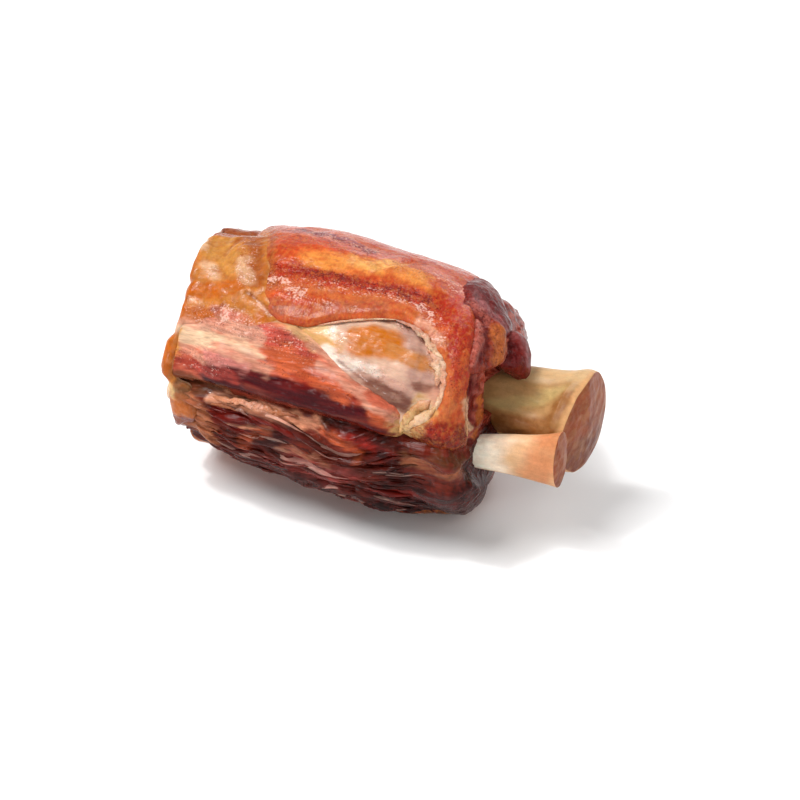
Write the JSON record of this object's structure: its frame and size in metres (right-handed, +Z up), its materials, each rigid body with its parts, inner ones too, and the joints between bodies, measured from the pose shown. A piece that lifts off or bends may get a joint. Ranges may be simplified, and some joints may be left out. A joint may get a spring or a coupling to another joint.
{
  "type": "cooked pork knuckle",
  "caption": "Braised meat knuckle with glossy browned rind, drawn back from a long opening over bare muscle and shreds, on a flared shank bone with a slender bone beside it.",
  "frame": {"origin": "middle of the box on the surface that the knuckle lies on", "axes": "+X along the bones towards their bared joint ends, +Z up, the opening in the rind faces -Y and up"},
  "size_m": [0.1828, 0.1096, 0.1094],
  "materials": {
    "browned_meat": "glossy cooked rind and wet browned muscle",
    "stained_bone": "cooked bone, tan stained, satin",
    "cream_bone": "cooked bone, cream turning warm tan, satin"
  },
  "bodies": {
    "root": {"meat": "browned_meat", "shank_bone": "stained_bone", "slender_bone": "cream_bone"}
  },
  "joints": []
}
